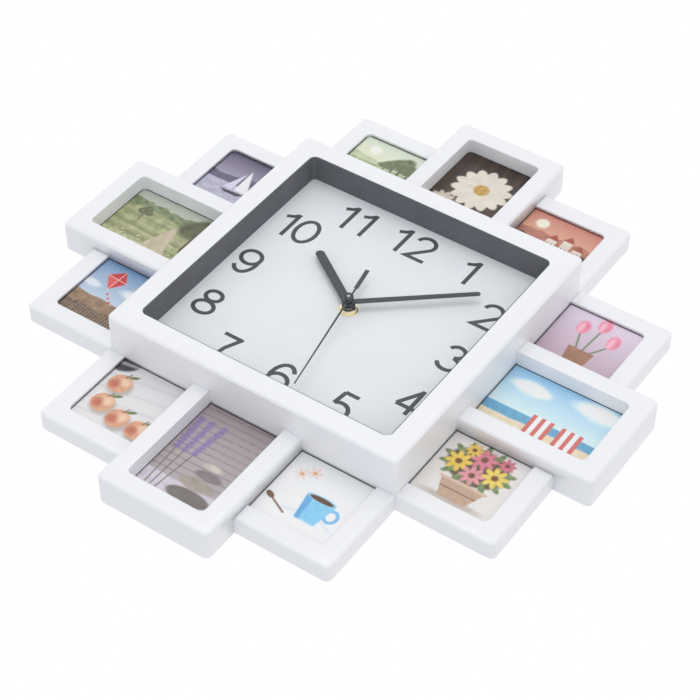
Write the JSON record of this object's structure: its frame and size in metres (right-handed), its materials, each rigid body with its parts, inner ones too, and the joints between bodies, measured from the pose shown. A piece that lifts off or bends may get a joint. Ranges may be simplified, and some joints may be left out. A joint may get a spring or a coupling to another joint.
{
  "type": "photo frame wall clock",
  "caption": "Square wall clock in a deep moulded housing ringed by low and raised picture frames, with an analogue quartz movement.",
  "frame": {"origin": "middle of the round part of the keyhole that the clock hangs on, in the plane of the wall", "axes": "+X towards three o'clock, +Y into the wall, +Z towards twelve o'clock; the face looks along -Y"},
  "size_m": [0.441, 0.044, 0.441],
  "materials": {
    "white_moulding": "smooth, semi-gloss",
    "grey_lining": "matt",
    "dial_card": "matt",
    "hardboard": "matt, pressed fibre",
    "clear_sheet": "clear, glossy",
    "hand_paint": "satin",
    "brass_turned": "bright",
    "movement_case": "fine grain",
    "wheel_plastic": "moulded acetal",
    "steel": "plain",
    "magnet": "sintered",
    "winding": "enamelled copper wire",
    "circuit_green": "lacquered laminate",
    "chip_black": "cast resin",
    "cell_jacket": "printed film",
    "rubber_black": "matt",
    "print_top": "glossy photo print",
    "print_right": "glossy photo print",
    "print_bottom": "glossy photo print",
    "print_left": "glossy photo print",
    "print_top_left": "glossy photo print",
    "print_top_right": "glossy photo print",
    "print_right_upper": "glossy photo print",
    "print_right_lower": "glossy photo print",
    "print_bottom_right": "glossy photo print",
    "print_bottom_left": "glossy photo print",
    "print_left_lower": "glossy photo print",
    "print_left_upper": "glossy photo print"
  },
  "bodies": {
    "clock_body": {"central_housing": "white_moulding", "raised_frame_top": "white_moulding", "raised_frame_right": "white_moulding", "raised_frame_bottom": "white_moulding", "raised_frame_left": "white_moulding", "low_frame_top_left": "white_moulding", "low_frame_top_right": "white_moulding", "low_frame_right_upper": "white_moulding", "low_frame_right_lower": "white_moulding", "low_frame_bottom_right": "white_moulding", "low_frame_bottom_left": "white_moulding", "low_frame_left_lower": "white_moulding", "low_frame_left_upper": "white_moulding", "print_top": "print_top", "print_right": "print_right", "print_bottom": "print_bottom", "print_left": "print_left", "print_top_left": "print_top_left", "print_top_right": "print_top_right", "print_right_upper": "print_right_upper", "print_right_lower": "print_right_lower", "print_bottom_right": "print_bottom_right", "print_bottom_left": "print_bottom_left", "print_left_lower": "print_left_lower", "print_left_upper": "print_left_upper", "raised_window_sheets": "clear_sheet", "low_window_sheets": "clear_sheet", "raised_backing_panels": "hardboard", "low_backing_panels": "hardboard", "recess_lining": "grey_lining", "dial_sheet": "dial_card", "dial_board": "hardboard", "dial_screws": "steel", "movement_front_case": "movement_case", "movement_rear_case": "movement_case", "battery": "cell_jacket", "battery_contacts": "steel", "dial_washer": "rubber_black", "bush_washer": "brass_turned", "bush_nut": "brass_turned", "stator": "steel", "coil": "winding", "circuit_board": "circuit_green", "quartz_crystal": "steel", "circuit_chip": "chip_black"},
    "hour_hand_set": {"hour_hand": "hand_paint", "hour_wheel": "wheel_plastic"},
    "minute_hand_set": {"minute_hand": "hand_paint", "minute_pipe": "brass_turned"},
    "second_hand_set": {"second_hand": "hand_paint", "second_wheel": "wheel_plastic"},
    "third_wheel_set": {"third_wheel": "wheel_plastic"},
    "centre_wheel_set": {"centre_wheel": "wheel_plastic"},
    "motion_wheel_set": {"motion_wheel": "wheel_plastic"},
    "step_wheel_set": {"step_wheel": "wheel_plastic"},
    "rotor_set": {"rotor": "magnet"},
    "setting_knob_set": {"setting_knob": "wheel_plastic"}
  },
  "joints": [
    {"name": "minute_hand_turn", "type": "hinge", "parent": "clock_body", "child": "minute_hand_set", "pos_m": [0, -0.0227, -0.098], "axis": [0, 1, 0], "continuous": true},
    {"name": "hour_hand_turn", "type": "hinge", "parent": "clock_body", "child": "hour_hand_set", "pos_m": [0, -0.0227, -0.098], "axis": [0, 1, 0], "continuous": true},
    {"name": "second_hand_turn", "type": "hinge", "parent": "clock_body", "child": "second_hand_set", "pos_m": [0, -0.0227, -0.098], "axis": [0, 1, 0], "continuous": true},
    {"name": "motion_wheel_turn", "type": "hinge", "parent": "clock_body", "child": "motion_wheel_set", "pos_m": [0.00554, -0.0227, -0.1012], "axis": [0, 1, 0], "continuous": true},
    {"name": "setting_knob_turn", "type": "hinge", "parent": "clock_body", "child": "setting_knob_set", "pos_m": [0.01156, -0.0227, -0.10339], "axis": [0, 1, 0], "continuous": true},
    {"name": "third_wheel_turn", "type": "hinge", "parent": "clock_body", "child": "third_wheel_set", "pos_m": [0.0051, -0.0227, -0.08917], "axis": [0, 1, 0], "continuous": true},
    {"name": "centre_wheel_turn", "type": "hinge", "parent": "clock_body", "child": "centre_wheel_set", "pos_m": [0, -0.0227, -0.098], "axis": [0, 1, 0], "continuous": true},
    {"name": "step_wheel_turn", "type": "hinge", "parent": "clock_body", "child": "step_wheel_set", "pos_m": [-0.00909, -0.0227, -0.09275], "axis": [0, 1, 0], "continuous": true},
    {"name": "rotor_turn", "type": "hinge", "parent": "clock_body", "child": "rotor_set", "pos_m": [-0.01377, -0.0227, -0.09005], "axis": [0, 1, 0], "continuous": true}
  ],
  "couplings": [
    {"joint": "motion_wheel_turn", "follows": "minute_hand_turn", "ratio": -0.33333},
    {"joint": "hour_hand_turn", "follows": "minute_hand_turn", "ratio": 0.083333},
    {"joint": "setting_knob_turn", "follows": "minute_hand_turn", "ratio": 1},
    {"joint": "third_wheel_turn", "follows": "second_hand_turn", "ratio": -0.13333},
    {"joint": "centre_wheel_turn", "follows": "second_hand_turn", "ratio": 0.016667},
    {"joint": "step_wheel_turn", "follows": "second_hand_turn", "ratio": -6},
    {"joint": "rotor_turn", "follows": "second_hand_turn", "ratio": 30}
  ]
}
